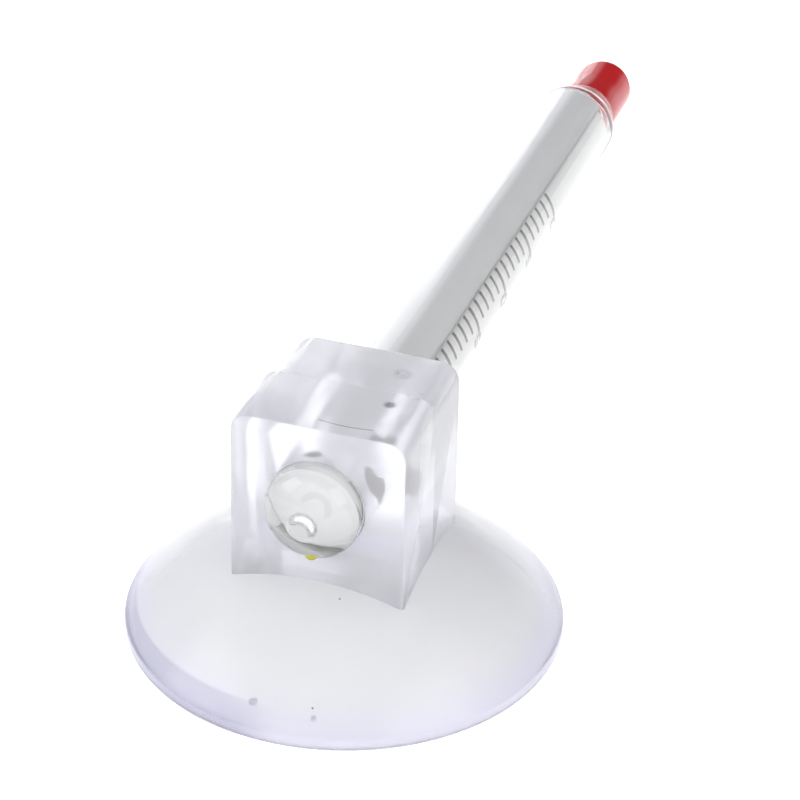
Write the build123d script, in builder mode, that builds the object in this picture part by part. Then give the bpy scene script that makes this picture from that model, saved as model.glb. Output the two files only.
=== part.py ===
"""Small glass thermometer for an aquarium, held in the block of a clear suction cup.

Frame: +Z up, millimetres. The origin is the centre of the suction cup's rim, and the rim lies on
the XY plane. The thermometer lies along Y with its bulb at the +Y end. An angle round the tube is
counted from straight up towards +X.
"""

import os

from build123d import *

os.makedirs("parts", exist_ok=True)

# Suction cup
cup_radius = 13.5
cup_height = 6.9
cup_cavity_radius = 12.7
cup_cavity_depth = 5.3
rim_height = 0.9
rim_rounding = 0.3

# Holder block, moulded on top of the cup
block_width = 11.0
block_depth = 10.2
block_top = 16.8
block_edge_radius = 1.2
block_small_radius = 0.25
rear_tier_depth = 4.6
rear_tier_drop = 0.1
rear_tier_inset = 0.3
rear_tier_shift = 0.25
mould_parting = 0.02

# Glass tube
tube_radius = 3.0
tube_wall = 0.3
tube_height = 11.5
tube_overhang = 0.6
bore_clearance = 0.03
dome_length = 1.95
dome_wall = 1.5
pip_radius = 0.85
pip_length = 0.3
pip_rounding = 0.25
tube_length = 52.9
shoulder_length = 2.8
neck_radius = 2.15
shoulder_pull = 0.35

# Bulb and capillary, one piece of glass fused to the tube at the neck
bulb_radius = 2.05
bulb_length = 6.8
bulb_wall = 0.95
capillary_radius = 0.8
capillary_bore = 0.3
capillary_end_gap = 0.2
taper_length = 4.4
fused_radius = 1.15
fused_gap = 0.02
bore_end_wall = 0.6
bulb_shoulder = 2.6
hollow_pull = 0.1
thread_clearance = 0.04

# Scale sheet and milk-white backing, two half shells that line the tube
lining_clearance = 0.03
ink_thickness = 0.03
sheet_thickness = 0.12
backing_thickness = 0.3
end_wall_thickness = 0.3
seam_angle = 47.0
seam_gap = 0.3
sheet_end_gap = 1.0
slot_half_angle = 11.0
slot_end_margin = 2.0

# Printed scale
lowest_degree = 10
highest_degree = 40
degree_pitch = 1.1
lowest_mark_y = 33.6
level_degree = 22
short_mark_width = 0.24
long_mark_width = 0.28
mark_margin_angle = 2.0
short_mark_angle = 27.0
long_mark_angle = 36.0
numeral_height = 1.0
numeral_width = 0.5
numeral_gap = 0.28
numeral_stroke = 0.18
numeral_step = 5
numeral_angle = 55.0
numeral_shift = 0.35
zone_low_degree = 23
zone_high_degree = 26
zone_gap_angle = 12.0
zone_angle = 4.0

# Dot of paint on the dome; its distance from the axis is a share of the tube's radius
dot_radius = 0.4
dot_sink = 0.2
dot_share = 0.83
dot_angle = 173.5

# Places along the tube, from the closed end to the bulb
block_front_y = -block_depth / 2
tube_start_y = block_front_y - tube_overhang
tip_y = tube_start_y - dome_length
tube_end_y = tube_start_y + tube_length
neck_y = tube_end_y + shoulder_length
bulb_end_y = neck_y + bulb_length
tube_inner = tube_radius - tube_wall
inner_dome_length = dome_length - dome_wall
inner_tip_y = tube_start_y - inner_dome_length
taper_start_y = neck_y - taper_length
sheet_outer = tube_inner - lining_clearance - ink_thickness
sheet_start_y = tube_start_y + sheet_end_gap
capillary_end_y = sheet_start_y + end_wall_thickness + capillary_end_gap
sheet_end_y = tube_end_y - sheet_end_gap / 2
sheet_inner = sheet_outer - sheet_thickness
backing_inner = sheet_outer - backing_thickness
far_seam_angle = seam_angle + 180
slot_angle = seam_angle + 90
bulb_core = bulb_radius - bulb_wall
bulb_start_y = neck_y + bulb_shoulder
bulb_round_y = bulb_end_y - bulb_radius

tube_axis = Axis((0, 0, tube_height), (0, 1, 0))


def sphere_radius(half_width, height):
    """The radius of the arc that rises by height over half_width."""
    return (half_width**2 + height**2) / (2 * height)


def outward(angle):
    """The direction straight out from the tube's axis at this angle."""
    return Vector(0, 0, 1).rotate(Axis.Y, angle)


def radial_plane(angle):
    """A plane through the tube's axis: its x points outward at this angle, its y along the tube."""
    out = outward(angle)
    return Plane(origin=(0, 0, tube_height), x_dir=out, z_dir=out.cross(Vector(0, 1, 0)))


def tangent_plane(angle, radius, y):
    """A plane facing outward from the lining, for signs that read with the bulb at the bottom."""
    out = outward(angle)
    up = Vector(0, -1, 0)
    return Plane(origin=out * radius + Vector(0, y, tube_height), x_dir=up.cross(out), z_dir=out)


def lining_strip(inner, outer, low_y, high_y, from_angle, to_angle, mode=Mode.ADD):
    """Adds or cuts a curved strip of the tube's lining between two radii, places and angles."""
    with BuildSketch(radial_plane(from_angle), mode=Mode.PRIVATE) as section:
        with Locations(((inner + outer) / 2, (low_y + high_y) / 2)):
            Rectangle(outer - inner, high_y - low_y)
    revolve(section.sketch, axis=tube_axis, revolution_arc=to_angle - from_angle, mode=mode)


def mark_y(degree):
    """The place along the tube of this temperature."""
    return lowest_mark_y - (degree - lowest_degree) * degree_pitch


def digit_strokes(digit):
    """The strokes that draw one digit, centred on a grid one wide and one high."""
    bowl = [(0.5, -0.1), (0.5, -0.4), (0.3, -0.5), (-0.5, -0.4)]
    left_side = [(-0.5, 0.3), (-0.5, -0.3)]
    return {
        "0": [[(-0.3, -0.5), (0.3, -0.5), (0.5, -0.3), (0.5, 0.3), (0.3, 0.5), (-0.3, 0.5), *left_side]],
        "1": [[(-0.2, 0.3), (0.1, 0.5), (0.1, -0.5)]],
        "2": [[(-0.5, 0.4), (-0.3, 0.5), (0.3, 0.5), (0.5, 0.3), (0.5, 0.1), (-0.5, -0.5), (0.5, -0.5)]],
        "3": [[(-0.5, 0.5), (0.5, 0.5), (0, 0.1), *bowl]],
        "4": [[(-0.3, 0.5), (-0.5, -0.15), (0.5, -0.15)], [(0.2, 0.2), (0.2, -0.5)]],
        "5": [[(0.5, 0.5), (-0.4, 0.5), (-0.5, 0.1), (0.3, 0.1), *bowl]],
    }[digit]


# Suction cup: a bowl of soft clear plastic with a rounded rim
with BuildPart() as suction_cup_skirt:
    with BuildSketch(Plane.XZ):
        with BuildLine():
            RadiusArc(
                (0, cup_height),
                (cup_radius, rim_height),
                sphere_radius(cup_radius, cup_height - rim_height),
            )
            Polyline((cup_radius, rim_height), (cup_radius, 0), (cup_cavity_radius, 0))
            RadiusArc(
                (0, cup_cavity_depth),
                (cup_cavity_radius, 0),
                sphere_radius(cup_cavity_radius, cup_cavity_depth),
            )
            Line((0, cup_cavity_depth), (0, cup_height))
        rim_corners = make_face().vertices().group_by(Axis.X)[-1]
        fillet(rim_corners, radius=rim_rounding)
    revolve(axis=Axis.Z)
suction_cup_skirt.part.label = "suction_cup_skirt"

# Holder block: the solid plastic above the bowl, in two tiers, with the bore for the tube
with BuildPart() as holder_block:
    front_plane = Plane.XZ.offset(-block_front_y)
    rear_plane = Plane.XZ.offset(-block_front_y - block_depth)
    with BuildSketch(front_plane):
        with Locations((0, rim_height)):
            front_outline = Rectangle(block_width, block_top - rim_height, align=(Align.CENTER, Align.MIN))
        fillet(front_outline.vertices().group_by(Axis.Y)[-1], radius=block_edge_radius)
    extrude(amount=rear_tier_depth - block_depth)
    with BuildSketch(rear_plane):
        with Locations((rear_tier_shift, rim_height)):
            rear_outline = Rectangle(
                block_width - 2 * rear_tier_inset,
                block_top - rear_tier_drop - rim_height,
                align=(Align.CENTER, Align.MIN),
            )
        fillet(rear_outline.vertices().group_by(Axis.Y)[-1], radius=block_edge_radius)
    extrude(amount=rear_tier_depth)
    rear_rim = holder_block.faces().sort_by(Axis.Y)[-1].edges().group_by(Axis.Z)[-1]
    fillet(rear_rim, radius=block_small_radius)
    with BuildSketch(Plane.XZ):
        with BuildLine():
            RadiusArc(
                (0, cup_height + mould_parting),
                (cup_radius, rim_height + mould_parting),
                sphere_radius(cup_radius, cup_height - rim_height),
            )
            Polyline(
                (cup_radius, rim_height + mould_parting),
                (cup_radius, 0),
                (0, 0),
                (0, cup_height + mould_parting),
            )
        make_face()
    revolve(axis=Axis.Z, mode=Mode.SUBTRACT)
    with BuildSketch(front_plane):
        with Locations((0, tube_height)):
            Circle(tube_radius + bore_clearance)
    extrude(amount=-block_depth, mode=Mode.SUBTRACT)
holder_block.part.label = "holder_block"

# Glass tube: drawn tube with a domed end, a sealed pip on it, and a shoulder down to the neck
with BuildPart() as glass_tube:
    with BuildSketch(radial_plane(0)):
        with BuildLine():
            EllipticalCenterArc((0, tube_start_y), tube_radius, dome_length, 270, arc_size=90)
            Line((tube_radius, tube_start_y), (tube_radius, tube_end_y))
            Spline(
                (tube_radius, tube_end_y),
                (neck_radius, neck_y),
                tangents=[(0, 1), (-shoulder_pull, 1)],
            )
            Polyline(
                (neck_radius, neck_y),
                (fused_radius + fused_gap, neck_y),
                (tube_inner, tube_end_y),
                (tube_inner, tube_start_y),
            )
            EllipticalCenterArc((0, tube_start_y), tube_inner, inner_dome_length, 270, arc_size=90)
            Line((0, inner_tip_y), (0, tip_y))
        make_face()
    revolve(axis=tube_axis)
    with BuildSketch(radial_plane(0)):
        with Locations((0, tip_y - pip_length)):
            pip = Rectangle(pip_radius, pip_length + dome_wall / 2, align=(Align.MIN, Align.MIN))
        pip_corner = pip.vertices().group_by(Axis.X)[-1].sort_by(Axis.Y)[0]
        fillet(pip_corner, radius=pip_rounding)
    revolve(axis=tube_axis)
glass_tube.part.label = "glass_tube"

# The hollow of the bulb, tapering through the neck into the capillary's bore
with BuildSketch(radial_plane(0)) as bulb_hollow:
    with BuildLine():
        Line((0, taper_start_y), (capillary_bore, taper_start_y))
        Spline(
            (capillary_bore, taper_start_y),
            (bulb_core, bulb_start_y),
            tangents=[(hollow_pull, 1), (0, 1)],
        )
        Line((bulb_core, bulb_start_y), (bulb_core, bulb_round_y))
        CenterArc((0, bulb_round_y), bulb_core, 0, 90)
        Line((0, bulb_round_y + bulb_core), (0, taper_start_y))
    make_face()

# Bulb and capillary: a thin rod of glass with a fine bore, blown out to a bulb at its end
with BuildPart() as bulb_and_capillary:
    with BuildSketch(radial_plane(0)):
        with BuildLine():
            Polyline(
                (0, capillary_end_y),
                (capillary_radius, capillary_end_y),
                (capillary_radius, taper_start_y),
                (fused_radius, neck_y),
                (neck_radius, neck_y),
            )
            Spline(
                (neck_radius, neck_y),
                (bulb_radius, bulb_start_y),
                tangents=[(-shoulder_pull, 1), (0, 1)],
            )
            Line((bulb_radius, bulb_start_y), (bulb_radius, bulb_round_y))
            CenterArc((0, bulb_round_y), bulb_radius, 0, 90)
            Line((0, bulb_end_y), (0, capillary_end_y))
        make_face()
    revolve(axis=tube_axis)
    fillet(bulb_and_capillary.edges().sort_by(Axis.Y)[0], radius=capillary_radius / 2)
    revolve(bulb_hollow.sketch, axis=tube_axis, mode=Mode.SUBTRACT)
    with BuildSketch(Plane.XZ.offset(-taper_start_y)):
        with Locations((0, tube_height)):
            Circle(capillary_bore)
    extrude(amount=taper_start_y - capillary_end_y - bore_end_wall, mode=Mode.SUBTRACT)
bulb_and_capillary.part.label = "bulb_and_capillary"

# Spirit: dyed red, one body of it in the bulb and a thread of it in the capillary
with BuildPart() as spirit_in_bulb:
    revolve(bulb_hollow.sketch, axis=tube_axis)
spirit_in_bulb.part.label = "spirit_in_bulb"

with BuildPart() as spirit_thread:
    with BuildSketch(Plane.XZ.offset(-taper_start_y)):
        with Locations((0, tube_height)):
            Circle(capillary_bore - thread_clearance)
    extrude(amount=taper_start_y - mark_y(level_degree))
spirit_thread.part.label = "spirit_thread"

# White backing: a half shell of milk-white plastic along the back of the tube, with a round wall
# across the closed end
with BuildPart() as white_backing:
    lining_strip(
        backing_inner,
        sheet_outer,
        sheet_start_y,
        tube_end_y,
        far_seam_angle + seam_gap,
        seam_angle + 360 - seam_gap,
    )
    lining_strip(0, backing_inner, sheet_start_y, sheet_start_y + end_wall_thickness, 0, 360)
white_backing.part.label = "white_backing"

# Scale sheet: a half shell of cream paper along the front, with a slot that shows the thread
with BuildPart() as scale_sheet:
    lining_strip(
        sheet_inner,
        sheet_outer,
        sheet_start_y,
        sheet_end_y,
        seam_angle + seam_gap,
        far_seam_angle - seam_gap,
    )
    lining_strip(
        sheet_inner - sheet_thickness,
        sheet_outer + sheet_thickness,
        sheet_start_y + slot_end_margin,
        sheet_end_y - slot_end_margin,
        slot_angle - slot_half_angle,
        slot_angle + slot_half_angle,
        mode=Mode.SUBTRACT,
    )
scale_sheet.part.label = "scale_sheet"

# Degree marks: printed lines along both seams, longer at every fifth degree
degrees = range(lowest_degree, highest_degree + 1)
long_degrees = degrees[::numeral_step]
short_degrees = [degree for degree in degrees if degree not in long_degrees]


def degree_marks(marked, width, angle):
    """Prints one line along each seam at each of the marked degrees."""
    for degree in marked:
        for start in (seam_angle + mark_margin_angle, far_seam_angle - mark_margin_angle - angle):
            lining_strip(
                sheet_outer,
                sheet_outer + ink_thickness,
                mark_y(degree) - width / 2,
                mark_y(degree) + width / 2,
                start,
                start + angle,
            )


with BuildPart() as short_degree_marks:
    degree_marks(short_degrees, short_mark_width, short_mark_angle)
short_degree_marks.part.label = "short_degree_marks"

with BuildPart() as long_degree_marks:
    degree_marks(long_degrees, long_mark_width, long_mark_angle)
long_degree_marks.part.label = "long_degree_marks"

# Numerals: printed beside the slot on both sides, wrapped round the sheet
with BuildPart() as scale_numerals:
    for degree in long_degrees:
        for angle in (seam_angle + numeral_angle, far_seam_angle - numeral_angle):
            with BuildSketch(tangent_plane(angle, tube_radius, mark_y(degree) - numeral_shift)):
                for place, digit in zip((-1, 1), str(degree)):
                    middle = place * (numeral_width + numeral_gap) / 2
                    for stroke in digit_strokes(digit):
                        points = [(middle + u * numeral_width, v * numeral_height) for u, v in stroke]
                        with BuildLine(mode=Mode.PRIVATE) as drawn:
                            Polyline(*points, close=digit == "0")
                        trace(drawn.line, line_width=numeral_stroke)
            extrude(amount=-tube_radius / 2)
    with BuildPart(mode=Mode.PRIVATE) as ink:
        lining_strip(sheet_outer, sheet_outer + ink_thickness, sheet_start_y, sheet_end_y, 0, 360)
    add(ink.part, mode=Mode.INTERSECT)
scale_numerals.part.label = "scale_numerals"

# Zone mark: a printed yellow-green band over the temperatures that tropical fish like
with BuildPart() as zone_mark:
    lining_strip(
        sheet_outer,
        sheet_outer + ink_thickness,
        mark_y(zone_high_degree),
        mark_y(zone_low_degree),
        slot_angle + zone_gap_angle,
        slot_angle + zone_gap_angle + zone_angle,
    )
zone_mark.part.label = "zone_mark"

# Paint dot: a drop of yellow-green paint on the lower side of the dome
with BuildPart() as paint_dot:
    dot_depth = dome_length * (1 - dot_share**2) ** 0.5
    out = outward(dot_angle)
    on_dome = out * tube_radius * dot_share + Vector(0, tube_start_y - dot_depth, tube_height)
    off_dome = Vector(0, -dot_depth / dome_length, 0) + out * dot_share * dome_length / tube_radius
    with Locations(on_dome - off_dome.normalized() * dot_sink):
        Sphere(dot_radius)
    add(glass_tube.part, mode=Mode.SUBTRACT)
paint_dot.part.label = "paint_dot"

for piece in (
    suction_cup_skirt,
    holder_block,
    glass_tube,
    bulb_and_capillary,
    spirit_in_bulb,
    spirit_thread,
    white_backing,
    scale_sheet,
    short_degree_marks,
    long_degree_marks,
    scale_numerals,
    zone_mark,
    paint_dot,
):
    export_step(piece.part, f"parts/{piece.part.label}.step")
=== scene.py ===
import math

import bmesh
import bpy
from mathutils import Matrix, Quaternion, Vector


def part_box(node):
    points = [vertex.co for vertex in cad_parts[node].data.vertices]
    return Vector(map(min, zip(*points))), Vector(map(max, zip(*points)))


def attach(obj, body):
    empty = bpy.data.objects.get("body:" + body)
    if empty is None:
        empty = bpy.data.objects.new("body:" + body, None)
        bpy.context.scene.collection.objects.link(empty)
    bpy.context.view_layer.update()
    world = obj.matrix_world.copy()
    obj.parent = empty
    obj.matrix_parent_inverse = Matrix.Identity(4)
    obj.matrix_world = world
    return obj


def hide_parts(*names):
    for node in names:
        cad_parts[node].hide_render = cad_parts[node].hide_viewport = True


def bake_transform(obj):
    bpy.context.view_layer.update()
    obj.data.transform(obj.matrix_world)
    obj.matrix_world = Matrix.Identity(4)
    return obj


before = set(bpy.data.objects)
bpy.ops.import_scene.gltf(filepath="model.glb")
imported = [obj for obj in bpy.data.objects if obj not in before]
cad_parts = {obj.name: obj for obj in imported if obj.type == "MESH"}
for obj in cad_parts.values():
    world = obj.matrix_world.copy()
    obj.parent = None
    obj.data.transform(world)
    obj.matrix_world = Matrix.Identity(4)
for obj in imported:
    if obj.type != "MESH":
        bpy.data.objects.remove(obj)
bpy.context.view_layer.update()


# Clear moulding: suction cup and holder block in one piece of soft clear vinyl, injection moulded.
# The bowl is pressed flat on the aquarium's glass, and the block above it has a bore that grips the tube.
# A few air bubbles and dark specks were caught in the vinyl.
MM = 0.001


class Value:
    """A shader socket that takes part in plain arithmetic."""

    def __init__(self, finish, socket):
        self.finish = finish
        self.socket = socket

    def maths(self, operation, first, second=0.0):
        return self.finish.node("Math", {"operation": operation}, {0: first, 1: second})

    def __add__(self, other):
        return self.maths("ADD", self, other)

    def __sub__(self, other):
        return self.maths("SUBTRACT", self, other)

    def __rsub__(self, other):
        return self.maths("SUBTRACT", other, self)

    def __mul__(self, other):
        return self.maths("MULTIPLY", self, other)

    def __gt__(self, other):
        return self.maths("GREATER_THAN", self, other)

    def __lt__(self, other):
        return self.maths("LESS_THAN", self, other)

    def size(self):
        return self.maths("ABSOLUTE", self)

    def rising(self, low, high):
        """Goes smoothly from 0 at low to 1 at high."""
        limits = {"Value": self, "From Min": low, "From Max": high}
        return self.finish.node("MapRange", {"interpolation_type": "SMOOTHSTEP"}, limits)

    __radd__ = __add__
    __rmul__ = __mul__


class Finish:
    """A material or a world: constant numbers on its main shader, and one method for any other node."""

    def __init__(self, name, world=None, **numbers):
        self.material = world or bpy.data.materials.new(name)
        self.material.use_nodes = True
        self.tree = self.material.node_tree
        self.shader = self.tree.nodes["Background" if world else "Principled BSDF"]
        for socket, number in numbers.items():
            self.shader.inputs[socket.replace("_", " ")].default_value = number

    def node(self, kind, settings, inputs, output=0):
        node = self.tree.nodes.new("ShaderNode" + kind)
        for name, setting in settings.items():
            if name == "stops":
                for element, (place, colour) in zip(ramp_elements(node, len(setting)), setting):
                    element.position = place
                    element.color = (*colour, 1)
            else:
                setattr(node, name, setting)
        for socket, value in inputs.items():
            self.feed(node.inputs[socket], value)
        return Value(self, node.outputs[output])

    def feed(self, socket, value):
        if isinstance(value, Value):
            self.tree.links.new(value.socket, socket)
        else:
            socket.default_value = value

    def drive(self, **sockets):
        """Feeds sockets of the main shader."""
        for socket, value in sockets.items():
            self.feed(self.shader.inputs[socket.replace("_", " ")], value)

    def place(self):
        return self.node("TexCoord", {}, {}, output="Object")

    def distance(self, centre, stretch=(1, 1, 1)):
        """How far a spot is from a centre in metres, leaving out an axis whose stretch is 0."""
        offset = self.node("VectorMath", {"operation": "SUBTRACT"}, {0: self.place(), 1: centre})
        flat = self.node("VectorMath", {"operation": "MULTIPLY"}, {0: offset, 1: stretch})
        return self.node("VectorMath", {"operation": "LENGTH"}, {0: flat}, output=1)

    def near(self, centre, reach):
        """A soft round patch, 1 at its centre in millimetres and 0 at its edge."""
        return 1 - self.distance([number * MM for number in centre]).rising(0.3 * reach * MM, reach * MM)

    def noise(self, scale, detail=2.0, stretch=(1, 1, 1), roughness=0.5):
        """Cloudy noise from 0 to 1, with its pattern stretched along an axis by a small number."""
        spot = self.node("VectorMath", {"operation": "MULTIPLY"}, {0: self.place(), 1: stretch})
        return self.node(
            "TexNoise", {}, {"Vector": spot, "Scale": scale, "Detail": detail, "Roughness": roughness}
        )

    def blended(self, mask, first, second):
        """First colour where the mask is 0 and second where it is 1."""
        inputs = {0: mask, 6: first, 7: second}
        return self.node("Mix", {"data_type": "RGBA", "clamp_factor": True}, inputs, output=2)

    def bumps(self, height, strength, distance):
        self.drive(Normal=self.node(
            "Bump", {}, {"Height": height, "Strength": strength, "Distance": distance}
        ))

    def tint_inside(self, colour, density):
        """Light that goes through the piece takes on this colour."""
        absorbing = self.tree.nodes.new("ShaderNodeVolumeAbsorption")
        absorbing.inputs["Color"].default_value = (*colour, 1)
        absorbing.inputs["Density"].default_value = density
        out = self.tree.nodes["Material Output"]
        self.tree.links.new(absorbing.outputs["Volume"], out.inputs["Volume"])


def ramp_elements(node, count):
    elements = node.color_ramp.elements
    while len(elements) < count:
        elements.new(0.5)
    return elements


def mesh_object(name, bm, finish, smooth_angle=40):
    """Turns a bmesh into an object with this finish, smooth except across its sharp edges."""
    bmesh.ops.recalc_face_normals(bm, faces=bm.faces)
    mesh = bpy.data.meshes.new(name)
    bm.to_mesh(mesh)
    bm.free()
    made = bpy.data.objects.new(name, mesh)
    bpy.context.scene.collection.objects.link(made)
    mesh.materials.append(finish.material)
    smooth(mesh, smooth_angle)
    return made


def smooth(mesh, angle):
    mesh.shade_smooth()
    mesh.set_sharp_from_angle(angle=math.radians(angle))


def lathe(bm, outline, centre, axis, steps=128):
    """Turns an outline of (distance from the axis, place along it) points once round the axis."""
    along = Vector(axis)
    out = along.orthogonal().normalized()
    side = along.cross(out)
    rings = []
    for radius, place in outline:
        middle = Vector(centre) + along * place
        if radius < 1e-9:
            rings.append([bm.verts.new(middle)])
            continue
        turns = [2 * math.pi * step / steps for step in range(steps)]
        rings.append([
            bm.verts.new(middle + radius * (out * math.cos(turn) + side * math.sin(turn)))
            for turn in turns
        ])
    for low, high in zip(rings, rings[1:]):
        for step in range(steps):
            after = (step + 1) % steps
            corners = [low[step % len(low)], low[after % len(low)]]
            corners += [high[after % len(high)], high[step % len(high)]]
            unique = [corner for index, corner in enumerate(corners) if corner not in corners[:index]]
            if len(unique) > 2:
                bm.faces.new(unique)


def arc(centre, radii, start, end, steps=12):
    """Points of an elliptical arc in the outline's plane, angles in degrees."""
    turns = [math.radians(start + (end - start) * step / steps) for step in range(steps + 1)]
    return [(centre[0] + radii[0] * math.cos(t), centre[1] + radii[1] * math.sin(t)) for t in turns]


def in_metres(outline):
    return [(radius * MM, place * MM) for radius, place in outline]


def evaluated_copy(thing):
    """Applies the object's modifiers to its mesh."""
    graph = bpy.context.evaluated_depsgraph_get()
    done = bpy.data.meshes.new_from_object(thing.evaluated_get(graph))
    thing.modifiers.clear()
    thing.data = done


def joined_or_cut(thing, tool, operation):
    change = thing.modifiers.new(operation, "BOOLEAN")
    change.operation = operation
    change.object = tool
    change.solver = "EXACT"
    evaluated_copy(thing)
    bpy.data.objects.remove(tool)


skirt_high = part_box("suction_cup_skirt")[1]
block_low, block_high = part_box("holder_block")
tube_low, tube_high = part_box("glass_tube")
cup_radius = skirt_high.x / MM
cup_height = skirt_high.z / MM
rim_width = 0.8
crown_thickness = 1.6
cavity_radius = cup_radius - rim_width
cavity_depth = cup_height - crown_thickness
rim_height = 0.9
rim_rounding = 0.3
block_front = block_low.y / MM
block_back = block_high.y / MM
block_half = block_high.x / MM
block_top = block_high.z / MM
rear_tier_depth = 4.6
rear_tier_drop = 0.1
rear_tier_inset = 0.3
rear_tier_shift = 0.25
block_rounding = 1.2
edge_rounding = 0.22
tube_radius = tube_high.x / MM
tube_height = (tube_low.z + tube_high.z) / 2 / MM
tube_axis = (0, 0, tube_height * MM)
grip_clearance = 0.03
bore_radius = tube_radius + grip_clearance

clear_vinyl = Finish("clear_soft_vinyl", IOR=1.42, Transmission_Weight=0.68)
clear_vinyl.tint_inside((0.62, 0.64, 0.95), 14.0)
across, along, height = [
    clear_vinyl.node("SeparateXYZ", {}, {0: clear_vinyl.place()}, output=axis) for axis in range(3)
]

# The bowl is painted a little greyer than the block as painted shade; its rim is painted violet as painted
# shade of the thick edge, darkest in a band on the lower-left lip
cloud = clear_vinyl.noise(150.0, detail=3.0)
shaded_bowl_colour = clear_vinyl.blended(cloud, (0.75, 0.75, 0.76, 1), (0.81, 0.81, 0.81, 1))
block_colour = clear_vinyl.blended(cloud, (0.88, 0.88, 0.90, 1), (0.93, 0.93, 0.935, 1))
bowl_ends, block_starts = 5.5 * MM, 8.5 * MM
body_colour = clear_vinyl.blended(height.rising(bowl_ends, block_starts), shaded_bowl_colour, block_colour)
# Painted violet shade towards the thick edge of the rim
rim = clear_vinyl.distance((0, 0, 0), (1, 1, 0)).rising(11.2 * MM, 13.4 * MM)
body_colour = clear_vinyl.blended(0.8 * rim, body_colour, (0.74, 0.73, 0.84, 1))
# Painted shade: a darker violet band on the lip, on the lower-left side only
lip = clear_vinyl.distance((0, 0.5 * MM, 0), (1, 1, 0)).rising(12.85 * MM, 13.05 * MM)
lip_shade_side = (-0.8 * across - 0.6 * along).rising(7.2 * MM, 10.2 * MM)
body_colour = clear_vinyl.blended(lip * lip_shade_side, body_colour, (0.55, 0.545, 0.65, 1))

# Dust on the block's top, specks caught in the vinyl and a fine scratch along the front of the top
dark_dirt = (0.16, 0.14, 0.17, 1)
dust = clear_vinyl.noise(900.0, detail=4.0).rising(0.38, 0.52)
caught = 0.0
for centre, reach, depth in (
    ((3.07, -1.05, 16.8), 0.5, 0.9),
    ((2.6, 2.7, 16.8), 0.8, 0.35),
    ((4.1, 0.5, 16.8), 0.7, 0.45),
):
    caught = caught + depth * clear_vinyl.near(centre, reach) * dust
body_colour = clear_vinyl.blended(caught, body_colour, dark_dirt)
spot = clear_vinyl.node("TexVoronoi", {}, {"Vector": clear_vinyl.place(), "Scale": 620.0})
sparse = clear_vinyl.noise(210.0) > 0.63
body_colour = clear_vinyl.blended((0.045 > spot) * sparse, body_colour, (0.10, 0.08, 0.05, 1))
scratch_middle, scratch_place, scratch_bend = 1.4 * MM, -4.2 * MM, 60
scratch_half_width, scratch_reach, scratch_depth = 0.04 * MM, 1.7 * MM, 16.4 * MM
from_middle = across - scratch_middle
off_scratch = (along - scratch_place - scratch_bend * from_middle * from_middle).size()
on_top = height > scratch_depth
scratch = (scratch_half_width > off_scratch) * (scratch_reach > from_middle.size()) * on_top
body_colour = clear_vinyl.blended(0.7 * scratch, body_colour, dark_dirt)
clear_vinyl.drive(Base_Color=body_colour)

# Soft flow marks of the moulding
flow = clear_vinyl.noise(260.0, detail=2.0, stretch=(1.0, 1.0, 0.35))
skin = clear_vinyl.noise(1500.0, detail=2.0)
clear_vinyl.drive(Roughness=0.14 + 0.12 * clear_vinyl.noise(420.0))
clear_vinyl.bumps(flow + 0.01 * skin, 0.35, 0.00012)


def sphere_arc(half_width, height, top, steps=48):
    """Points from the top of a spherical cap down to its edge."""
    radius = (half_width**2 + height**2) / (2 * height)
    half_angle = math.degrees(math.asin(half_width / radius))
    return arc((0, top - radius), (radius, radius), 90, 90 - half_angle, steps)


def bowl_outline():
    """The moulded bowl from the top centre out over the rim and back under to the centre."""
    outer = sphere_arc(cup_radius, cup_height - rim_height, cup_height)
    upper = [point for point in outer if point[0] < cup_radius - rim_rounding]
    corner = (cup_radius - rim_rounding, rim_height - rim_rounding / 2)
    upper += arc(corner, (rim_rounding, rim_rounding), 58, 0, 5)
    lower = arc((corner[0], rim_rounding), (rim_rounding, rim_rounding), 0, -90, 5)
    inner = sphere_arc(cavity_radius, cavity_depth, cavity_depth)[::-1]
    return upper + lower + inner


def tier(bm, middle, half_width, top, front, back, bottom):
    """One tier of the block: flat sides, two rounded top edges and finely rounded ends."""
    ends = []
    for inset, place in (
        (edge_rounding, front),
        (edge_rounding * 0.3, front + edge_rounding * 0.3),
        (0, front + edge_rounding),
        (0, back - edge_rounding),
        (edge_rounding * 0.3, back - edge_rounding * 0.3),
        (edge_rounding, back),
    ):
        half, high, radius = half_width - inset, top - inset, block_rounding
        right = arc((half - radius, high - radius), (radius, radius), 0, 90, 8)
        outline = [(half, bottom)] + right + [(-x, z) for x, z in right[::-1]] + [(-half, bottom)]
        ends.append([bm.verts.new(((middle + x) * MM, place * MM, z * MM)) for x, z in outline])
    for near, far in zip(ends, ends[1:]):
        for index in range(len(near)):
            after = (index + 1) % len(near)
            bm.faces.new((near[index], near[after], far[after], far[index]))
    bm.faces.new(ends[0])
    bm.faces.new(ends[-1])


bowl = bmesh.new()
lathe(bowl, in_metres(bowl_outline()), (0, 0, 0), (0, 0, 1), steps=192)
clear_moulding = mesh_object("clear_moulding", bowl, clear_vinyl)
sunk_into_bowl = 0.4
tier_overlap = 1
tier_bottom = cavity_depth - sunk_into_bowl
tiers_meet = block_back - rear_tier_depth
rear_half, rear_top = block_half - rear_tier_inset, block_top - rear_tier_drop
for middle, half, top, front, back in (
    (0, block_half, block_top, block_front, tiers_meet),
    (rear_tier_shift, rear_half, rear_top, tiers_meet - tier_overlap, block_back),
):
    bm = bmesh.new()
    tier(bm, middle, half, top, front, back, tier_bottom)
    joined_or_cut(clear_moulding, mesh_object("tier", bm, clear_vinyl), "UNION")
bm = bmesh.new()
past_face = 2
bore_start, bore_end = block_front - past_face, block_back + past_face
bore = [(0, bore_start), (bore_radius, bore_start), (bore_radius, bore_end), (0, bore_end)]
lathe(bm, in_metres(bore), tube_axis, (0, 1, 0))
joined_or_cut(clear_moulding, mesh_object("bore", bm, clear_vinyl), "DIFFERENCE")


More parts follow.
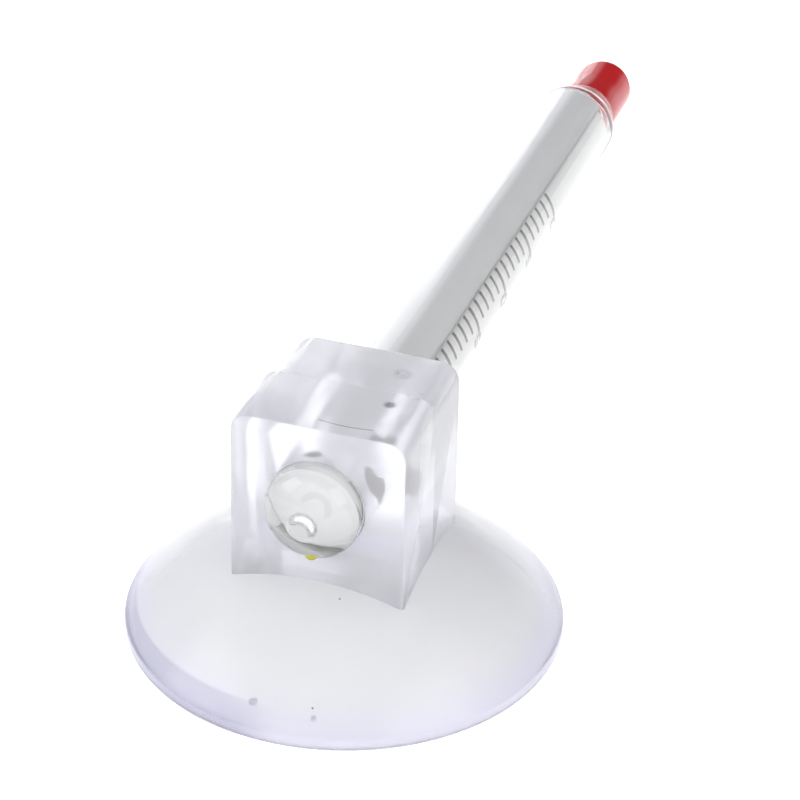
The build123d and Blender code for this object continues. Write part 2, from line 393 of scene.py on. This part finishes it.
def air_bubble(bm, centre, radius):
    """A small hollow, not quite round, with its surface turned inward."""
    made = bmesh.ops.create_icosphere(bm, subdivisions=3, radius=radius * MM)
    for vertex in made["verts"]:
        swelling = 1 + 0.08 * math.sin(vertex.co.x / radius / MM * 3)
        vertex.co = vertex.co * swelling + Vector(centre) * MM
    faces = {face for vertex in made["verts"] for face in vertex.link_faces}
    bmesh.ops.reverse_faces(bm, faces=list(faces))


bm = bmesh.new()
bm.from_mesh(clear_moulding.data)
air_bubble(bm, (-1.33, -12.0, 1.65), 0.27)
air_bubble(bm, (2.43, -12.05, 1.45), 0.18)
for step in range(9):
    swing = math.sin(step * 2.3)
    centre = (-1.0 + 0.2 * step + 0.3 * swing, 2.8 - 0.26 * step, block_top - 0.35 - 0.1 * swing)
    air_bubble(bm, centre, 0.13 + 0.05 * math.cos(step * 1.7))
bm.to_mesh(clear_moulding.data)
bm.free()
smooth(clear_moulding.data, 32)
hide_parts("suction_cup_skirt", "holder_block")
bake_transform(clear_moulding)


# Painted shade in the bore: dark grey-brown films on the vinyl near the mouth, standing in for the dark
# gap round the tube seen through the vinyl.
# The films lie on the vinyl in thin uneven patches.
# Finish of the painted shade films in the bore
bore_gap_shade = Finish("bore_gap_shade", Roughness=0.8)
shade_mottle = bore_gap_shade.noise(1100.0, detail=5.0)
bore_gap_shade.drive(Base_Color=bore_gap_shade.blended(shade_mottle, (0.03, 0.028, 0.04, 1), (0.13, 0.11, 0.11, 1)))
film_radius = bore_radius + 0.02
film_thickness = 0.01
film_steps = 12
film_turn = 19.2
film_edge = 0.0
film_places = ((66.0, -2.2, 1.6), (88.0, -1.0, 1.3), (-10.0, -3.8, 0.9))
for angle, place, reach in film_places:
    turn = math.radians(angle)
    spot = (bore_radius * math.sin(turn), place, tube_height + bore_radius * math.cos(turn))
    film_edge = film_edge + bore_gap_shade.near(spot, reach)
bore_gap_shade.drive(Alpha=(film_edge * shade_mottle).rising(0.22, 0.5))
bm = bmesh.new()
for angle, place, reach in film_places:
    shares = [2 * step / film_steps - 1 for step in range(film_steps + 1)]
    grid = []
    for row_share in shares:
        turns = [math.radians(angle + share * reach * film_turn) for share in shares]
        spots = [
            (film_radius * math.sin(t), place + row_share * reach, tube_height + film_radius * math.cos(t))
            for t in turns
        ]
        grid.append([bm.verts.new(Vector(spot) * MM) for spot in spots])
    for low, high in zip(grid, grid[1:]):
        for step in range(film_steps):
            bm.faces.new((low[step], low[step + 1], high[step + 1], high[step]))
# Thin sheets of painted shade just inside the bore's mouth
gap_shade_film = mesh_object("gap_shade_film", bm, bore_gap_shade)
thickness = gap_shade_film.modifiers.new("thickness", "SOLIDIFY")
thickness.thickness = film_thickness * MM
evaluated_copy(gap_shade_film)
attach(gap_shade_film, "holder")


# Outer glass tube: drawn from thin soda glass, one end melted to a dome with a pip where it was sealed
# off, the other drawn down to the neck. It is pushed through the bore of the block.
dome_length = 1.95
dome_wall = 1.5
tube_wall = 0.3
pip_flat = 0.45
pip_foot = 1.0
pip_length = 0.3
neck_radius = 2.15
shoulder_length = 2.8
closed_end = tube_low.y / MM
tube_end = tube_high.y / MM - shoulder_length
tube_start = closed_end + pip_length + dome_length
neck = tube_high.y / MM
fused_radius = 1.17

clear_glass = Finish(
    "clear_glass", Base_Color=(0.995, 1.0, 0.995, 1), Roughness=0.0, IOR=1.5, Transmission_Weight=1.0
)
clear_glass.tint_inside((0.72, 0.9, 0.74), 5.0)
drawn_lines = clear_glass.noise(900.0, detail=1.0, stretch=(1.0, 0.02, 1.0))
clear_glass.bumps(drawn_lines, 0.06, 0.00004)
along = clear_glass.node("SeparateXYZ", {}, {0: clear_glass.place()}, output=1)
flamed = along.rising(tube_end * MM, neck * MM)
clear_glass.drive(Roughness=0.012 * clear_glass.noise(500.0) + 0.2 * flamed)


def s_curve(share):
    """Goes smoothly from 0 to 1 and is held at those outside its range."""
    held = min(max(share, 0), 1)
    return 3 * held**2 - 2 * held**3


def eased(start, end, steps, bulge=0):
    """A curve between two outline points that leaves and arrives along the tube."""
    points = []
    for step in range(1, steps + 1):
        share = step / steps
        radius = start[0] + (end[0] - start[0]) * s_curve(share)
        points.append((radius + bulge * share * (1 - share), start[1] + (end[1] - start[1]) * share))
    return points


def tube_outline():
    dome = []
    for radius, place in arc((0, tube_start), (tube_radius, dome_length), -90, 0, 48):
        off_pip = s_curve((radius - pip_flat) / (pip_foot - pip_flat))
        dome.append((radius, place - pip_length * (1 - off_pip)))
    shoulder = eased((tube_radius, tube_end), (neck_radius, neck), 14, 0.35)
    wall_end = [(fused_radius, neck)]
    inside = eased((fused_radius, neck), (tube_radius - tube_wall, tube_end), 14, 0.1)
    inner_dome = arc((0, tube_start), (tube_radius - tube_wall, dome_length - dome_wall), 0, -90, 24)
    return dome + shoulder + wall_end + inside + inner_dome


bm = bmesh.new()
lathe(bm, in_metres(tube_outline()), tube_axis, (0, 1, 0), steps=144)
outer_glass = mesh_object("outer_glass", bm, clear_glass, 50)
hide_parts("glass_tube")
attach(outer_glass, "thermometer")


# Bulb and capillary: a thin glass rod with a fine bore, blown out to a bulb at one end and fused to the
# outer tube at the neck. The rod lies in the middle of the tube.
inner_low, inner_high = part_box("bulb_and_capillary")
bulb_radius = 2.05
bulb_end = inner_high.y / MM
bulb_wall = 0.95
bulb_shift = 0.33
bulb_shift_angle = 117.0
bulb_swelling = 2.6
bulb_start = neck + bulb_swelling
bulb_round = bulb_end - bulb_radius
capillary_radius = 0.8
capillary_bore = 0.3
throat_radius = 0.97
capillary_end = inner_low.y / MM
taper_length = 4.4
taper_start = neck - taper_length
rod_rounding = 0.4
bore_closed = 0.6
rod_at_neck = 1.15


def bulb_outline():
    corner = (capillary_radius - rod_rounding, capillary_end + rod_rounding)
    rod = arc(corner, (rod_rounding, rod_rounding), -90, 0, 8)
    taper = [(capillary_radius, taper_start), (rod_at_neck, neck - 0.02), (neck_radius, neck)]
    blown = eased((neck_radius, neck), (bulb_radius, bulb_start), 10)
    return [(0, capillary_end)] + rod + taper + blown + arc((0, bulb_round), (bulb_radius,) * 2, 0, 90, 16)


def hollow_outline(clearance):
    """The hollow of the bulb from its round end back to the bore."""
    core = bulb_radius - bulb_wall - clearance
    throat = throat_radius - clearance
    end = arc((0, bulb_round), (core, core), 90, 0, 14) + [(core, bulb_start)]
    narrowing = eased((throat, neck), (capillary_bore - clearance, taper_start), 20)
    return end + eased((core, bulb_start), (throat, neck), 8) + narrowing


def off_centre(piece, start, end):
    """Bends the blown end of the glass a little to one side, as it was left by hand."""
    turn = math.radians(bulb_shift_angle)
    out = Vector((math.sin(turn), 0, math.cos(turn))) * bulb_shift * MM
    for vertex in piece.data.vertices:
        vertex.co += out * s_curve((vertex.co.y / MM - start) / (end - start))


bm = bmesh.new()
bore_end = capillary_end + bore_closed
bore = hollow_outline(0) + [(capillary_bore, bore_end), (0, bore_end)]
lathe(bm, in_metres(bulb_outline()), tube_axis, (0, 1, 0), steps=112)
lathe(bm, in_metres(bore), tube_axis, (0, 1, 0), steps=112)
bulb_glass = Finish(
    "bulb_glass", Base_Color=(0.995, 1, 0.995, 1), IOR=1.5, Transmission_Weight=1.0, Specular_IOR_Level=0.4
)
bulb_glass.drive(Roughness=0.07 + 0.06 * bulb_glass.noise(500.0))
inner_glass = mesh_object("inner_glass", bm, bulb_glass, 50)
off_centre(inner_glass, tube_end, bulb_start)
off_centre(outer_glass, tube_end, bulb_start)
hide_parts("bulb_and_capillary")
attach(inner_glass, "thermometer")


# Spirit: alcohol dyed red. It fills the bulb and its taper, and a thread of it stands in the capillary.
# It wets the glass, so the end of the thread is hollow.
red_spirit = Finish("red_spirit", IOR=1.36, Specular_IOR_Level=0.0)
cloud = red_spirit.noise(700.0, detail=3.0)
red_spirit.drive(Base_Color=red_spirit.blended(cloud, (0.50, 0.0, 0.0, 1), (0.66, 0.002, 0.002, 1)))
red_spirit.drive(Roughness=0.08 + 0.1 * cloud)
wetting_overlap = 0.01
thread_low, thread_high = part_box("spirit_thread")
thread_radius = (thread_high.x - thread_low.x) / 2 / MM
thread_end = thread_low.y / MM

bm = bmesh.new()
body = hollow_outline(-wetting_overlap) + [(0, taper_start)]
lathe(bm, in_metres(body), tube_axis, (0, 1, 0), steps=80)
bulb_spirit = mesh_object("bulb_spirit", bm, red_spirit, 50)
off_centre(bulb_spirit, tube_end, bulb_start)
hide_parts("spirit_in_bulb")
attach(bulb_spirit, "thermometer")

bm = bmesh.new()
hollow_depth = 0.18
hollow_end = [(0, thread_end + hollow_depth), (thread_radius * 0.6, thread_end + hollow_depth * 2 / 3)]
lengths = [thread_end + (taper_start - thread_end) * step / 40 for step in range(41)]
column = hollow_end + [(thread_radius, place) for place in lengths] + [(0, taper_start)]
lathe(bm, in_metres(column), tube_axis, (0, 1, 0), steps=32)
red_thread = mesh_object("red_thread", bm, red_spirit, 50)
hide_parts("spirit_thread")
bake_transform(red_thread)


# Lining of the tube: a half shell of milk-white plastic behind the capillary and a half shell of cream
# paper in front of it with a slot over the thread. They meet along two seams and spring against the glass.
lining_clearance = 0.03
ink_thickness = 0.03
sheet_thickness = 0.12
backing_thickness = 0.3
seam_angle = 47.0
seam_gap = 0.04
end_wall_thickness = 0.3
shoulder_reach = 1.9
rounded_corner = 2.2
slot_half_angle = 11.0
slot_end_margin = 2.0
sheet_outer = tube_radius - tube_wall - lining_clearance - ink_thickness
backing_low, backing_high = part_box("white_backing")
sheet_low, sheet_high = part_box("scale_sheet")


def lining_radius(place):
    """The outer radius of the lining, which narrows where it reaches into the shoulder."""
    narrowest = fused_radius + backing_thickness
    return sheet_outer - (sheet_outer - narrowest) * s_curve((place - tube_end) / shoulder_length)


def curved_sheet(name, finish, thickness, span, angles, slot=None, corner=0):
    """A curved strip that lines the tube, grown inward from its outer face. The slot is left open."""
    from_angle, to_angle = angles
    columns = [from_angle + (to_angle - from_angle) * step / 72 for step in range(73)]
    rows = [span[0] + (span[1] - span[0]) * step / 60 for step in range(61)]
    corner_angle = 45
    if slot:
        columns = sorted([c for c in columns if all(abs(c - a) > 1 for a in slot[:2])] + list(slot[:2]))
        rows = sorted([r for r in rows if all(abs(r - y) > 0.3 for y in slot[2:])] + list(slot[2:]))
    bm = bmesh.new()
    grid = []
    for angle in columns:
        turn = math.radians(angle)
        off_seam = min(abs(angle - from_angle), abs(to_angle - angle)) / corner_angle
        cut_back = corner * max(1 - off_seam, 0) ** 2
        column = []
        for row in rows:
            place = row - cut_back * (row - span[0]) / (span[1] - span[0])
            radius = lining_radius(place)
            spot = Vector((radius * math.sin(turn), place, tube_height + radius * math.cos(turn)))
            column.append(bm.verts.new(spot * MM))
        grid.append(column)
    for i, (left, right) in enumerate(zip(columns, columns[1:])):
        for j, (low, high) in enumerate(zip(rows, rows[1:])):
            middle = ((left + right) / 2, (low + high) / 2)
            if slot and slot[0] < middle[0] < slot[1] and slot[2] < middle[1] < slot[3]:
                continue
            bm.faces.new((grid[i][j], grid[i][j + 1], grid[i + 1][j + 1], grid[i + 1][j]))
    sheet = mesh_object(name, bm, finish)
    first = sheet.data.polygons[0]
    if first.normal.dot(first.center - Vector((0, first.center.y, tube_height * MM))) < 0:
        sheet.data.flip_normals()
    inward = sheet.modifiers.new("thickness", "SOLIDIFY")
    inward.thickness = thickness * MM
    inward.offset = -1
    inward.use_even_offset = True
    evaluated_copy(sheet)
    smooth(sheet.data, 40)
    return sheet


milk_white = Finish(
    "milk_white_plastic",
    Subsurface_Weight=1.0,
    Subsurface_Radius=(1, 1, 1),
    Subsurface_Scale=0.0006,
    Coat_Weight=0.2,
    Coat_Roughness=0.2,
)
mottle = milk_white.noise(500.0, detail=4.0, stretch=(1.0, 0.3, 1.0))
milk_white.drive(Base_Color=milk_white.blended(mottle, (0.93, 0.925, 0.93, 1), (0.97, 0.965, 0.965, 1)))
milk_white.drive(Roughness=0.3 + 0.2 * mottle)
milk_backing = curved_sheet(
    "milk_backing",
    milk_white,
    backing_thickness,
    (backing_low.y / MM, backing_high.y / MM + shoulder_reach),
    (seam_angle + 180 + seam_gap, seam_angle + 360 - seam_gap),
    corner=rounded_corner,
)
bm = bmesh.new()
wall_start = backing_low.y / MM
wall_end = wall_start + end_wall_thickness
wall_radius = sheet_outer - backing_thickness + 0.02
bevel = 0.1
wall = [(0, wall_start), (wall_radius - bevel, wall_start), (wall_radius, wall_start + bevel)]
wall += [(wall_radius, wall_end), (0, wall_end)]
lathe(bm, in_metres(wall), tube_axis, (0, 1, 0), steps=96)
joined_or_cut(milk_backing, mesh_object("end_wall", bm, milk_white), "UNION")
smooth(milk_backing.data, 40)
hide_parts("white_backing")
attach(milk_backing, "scale")

cream_paper = Finish(
    "cream_paper", Subsurface_Weight=1.0, Subsurface_Radius=(1, 0.95, 0.9), Subsurface_Scale=0.0005
)
fibres = cream_paper.noise(3000.0, detail=6.0, stretch=(1.0, 0.4, 1.0), roughness=0.7)
cream_paper.drive(Base_Color=cream_paper.blended(fibres, (0.90, 0.86, 0.77, 1), (0.96, 0.93, 0.87, 1)))
cream_paper.drive(Roughness=0.5 + 0.25 * fibres)
cream_paper.bumps(fibres, 0.1, 0.00002)
cream_sheet = curved_sheet(
    "cream_sheet",
    cream_paper,
    sheet_thickness,
    (sheet_low.y / MM, sheet_high.y / MM),
    (seam_angle + seam_gap, seam_angle + 180 - seam_gap),
    slot=(
        seam_angle + 90 - slot_half_angle,
        seam_angle + 90 + slot_half_angle,
        sheet_low.y / MM + slot_end_margin,
        sheet_high.y / MM - slot_end_margin,
    ),
)
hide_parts("scale_sheet")
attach(cream_sheet, "scale")


# Print on the scale sheet: brown-grey degree marks and numerals, and a yellow-green band over the
# temperatures for tropical fish. The ink is thin in places and shows the paper's fibres.
brown_ink = Finish("brown_grey_ink", Roughness=0.55)
wear = brown_ink.noise(4200.0, detail=4.0)
brown_ink.drive(Base_Color=brown_ink.blended(wear, (0.10, 0.07, 0.05, 1), (0.29, 0.225, 0.18, 1)))
brown_ink.drive(Roughness=0.45 + 0.3 * wear)
zone_ink = Finish("yellow_green_ink", Roughness=0.5)
zone_wear = zone_ink.noise(4200.0, detail=4.0)
zone_ink.drive(Base_Color=zone_ink.blended(zone_wear, (0.42, 0.5, 0.03, 1), (0.55, 0.62, 0.1, 1)))
zone_ink.drive(Roughness=0.45 + 0.3 * zone_wear)
for name, finish in (
    ("short_degree_marks", brown_ink),
    ("long_degree_marks", brown_ink),
    ("scale_numerals", brown_ink),
    ("zone_mark", zone_ink),
):
    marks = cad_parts[name]
    marks.data.materials.clear()
    marks.data.materials.append(finish.material)


# Dot of yellow-green colour on the lower side of the dome.
# It is a small raised drop with a slightly uneven surface.
dot_finish = Finish("yellow_green_dot", Roughness=0.4)
grain = dot_finish.noise(2500.0, detail=4.0)
dot_finish.drive(Base_Color=dot_finish.blended(grain, (0.27, 0.27, 0.004, 1), (0.48, 0.45, 0.03, 1)))
dot_finish.bumps(grain, 0.3, 0.00005)
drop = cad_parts["paint_dot"]
drop.data.materials.clear()
drop.data.materials.append(dot_finish.material)


# Room: a white sweep in even pale air, with soft boxes at the window side, front left and right.
# A dark corner high behind the bulb keeps pale reflections off the red glass.
scene = bpy.context.scene
scene.view_settings.view_transform = "Standard"
world = bpy.data.worlds.new("studio_air")
scene.world = world
air = Finish("studio_air", world=world, Strength=1.22)
direction = air.node("TexCoord", {}, {})
towards = [air.node("SeparateXYZ", {}, {0: direction}, output=axis) for axis in range(3)]
dark_corner = towards[1].rising(0.2, 0.6) * towards[2].rising(0.08, 0.3) * towards[0].rising(-0.3, -0.1)
air.drive(Color=air.blended(dark_corner, (0.90, 0.91, 0.95, 1), (0.17, 0.17, 0.19, 1)))

floor_finish = Finish("white_sweep", Roughness=0.9)
floor_cloud = floor_finish.noise(30.0)
floor_colour = floor_finish.blended(floor_cloud, (0.90, 0.90, 0.90, 1), (0.93, 0.93, 0.93, 1))
floor_finish.drive(Base_Color=floor_colour)
floor_finish.shader.inputs["Emission Color"].default_value = (1, 1, 1, 1)
floor_finish.shader.inputs["Emission Strength"].default_value = 0.55
bm = bmesh.new()
sweep_reach = 3.0
below_cup = 0.02 * MM
quarters = ((-1, -1), (1, -1), (1, 1), (-1, 1))
bm.faces.new([bm.verts.new((x * sweep_reach, y * sweep_reach, -below_cup)) for x, y in quarters])
floor = mesh_object("floor", bm, floor_finish)


def soft_box(name, place, target, size, power, colour=(1, 1, 1)):
    lamp = bpy.data.lights.new(name, "AREA")
    lamp.shape = "RECTANGLE"
    lamp.size, lamp.size_y = size
    lamp.energy = power
    lamp.color = colour
    stand = bpy.data.objects.new(name, lamp)
    scene.collection.objects.link(stand)
    stand.location = place
    stand.rotation_mode = "QUATERNION"
    stand.rotation_quaternion = (Vector(target) - Vector(place)).to_track_quat("-Z", "Y")


object_middle = (0, 0.015, 0.01)
soft_box("window_left", (-0.26, 0.46, 0.13), object_middle, (0.16, 0.26), 0.15)
soft_box("front_left", (-0.40, -0.20, 0.30), object_middle, (0.3, 0.3), 0.6)
soft_box("fill_right", (0.34, -0.12, 0.26), object_middle, (0.3, 0.3), 0.45, (1, 0.98, 0.94))

viewpoint = Vector((0.05695, -0.16096, 0.12088))
aim = Vector((0.0, 0.010, 0.01012))
lens = bpy.data.cameras.new("viewer")
lens.lens = 152.1
lens.sensor_width = 36
lens.clip_start = 0.01
viewer = bpy.data.objects.new("viewer", lens)
scene.collection.objects.link(viewer)
viewer.location = viewpoint
viewer.rotation_mode = "QUATERNION"
look = (aim - viewpoint).to_track_quat("-Z", "Y")
tilt = 1.19
viewer.rotation_quaternion = look @ Quaternion((0, 0, 1), math.radians(tilt))
scene.camera = viewer
